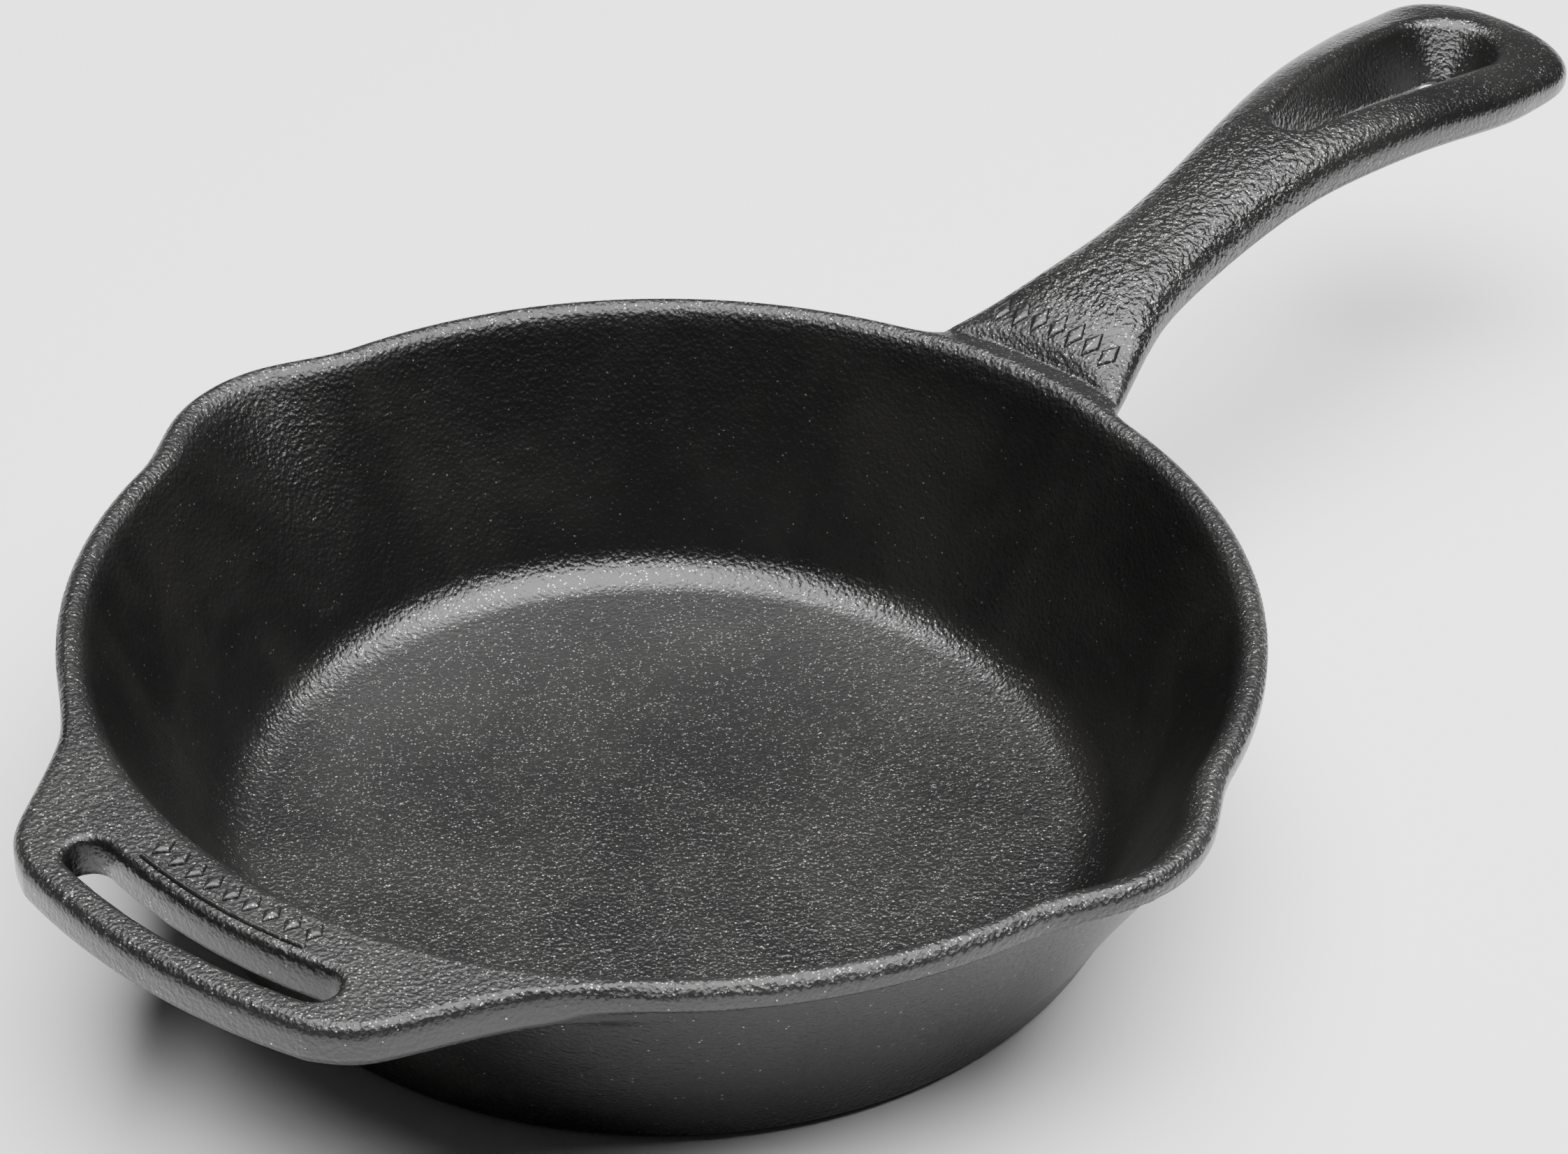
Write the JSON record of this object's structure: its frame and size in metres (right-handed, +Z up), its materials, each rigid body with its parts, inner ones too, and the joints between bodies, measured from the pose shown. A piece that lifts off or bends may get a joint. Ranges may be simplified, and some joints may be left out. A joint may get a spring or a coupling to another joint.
{
  "type": "cast iron skillet",
  "caption": "Round cast iron skillet with a leaning wall, pour spouts on both sides, a long upswept handle ending in a hanging eye, and a slotted helper handle opposite.",
  "frame": {"origin": "centre of the flat resting face under the pan", "axes": "+Z up out of the pan's mouth, +X along the long handle towards its hanging eye, -X towards the helper handle, +Y and -Y towards the pour spouts"},
  "size_m": [0.3954, 0.223, 0.0689],
  "materials": {
    "seasoned_iron": "oil-seasoned black casting, satin, with fine cast grain"
  },
  "bodies": {
    "root": {"pan_floor": "seasoned_iron", "side_wall": "seasoned_iron", "rim_band_handle_side": "seasoned_iron", "rim_band_helper_side": "seasoned_iron", "pour_spout_left": "seasoned_iron", "pour_spout_right": "seasoned_iron", "handle_root": "seasoned_iron", "handle_grip": "seasoned_iron", "hanging_loop": "seasoned_iron", "helper_handle": "seasoned_iron", "helper_marks": "seasoned_iron", "root_marks": "seasoned_iron"}
  },
  "joints": []
}
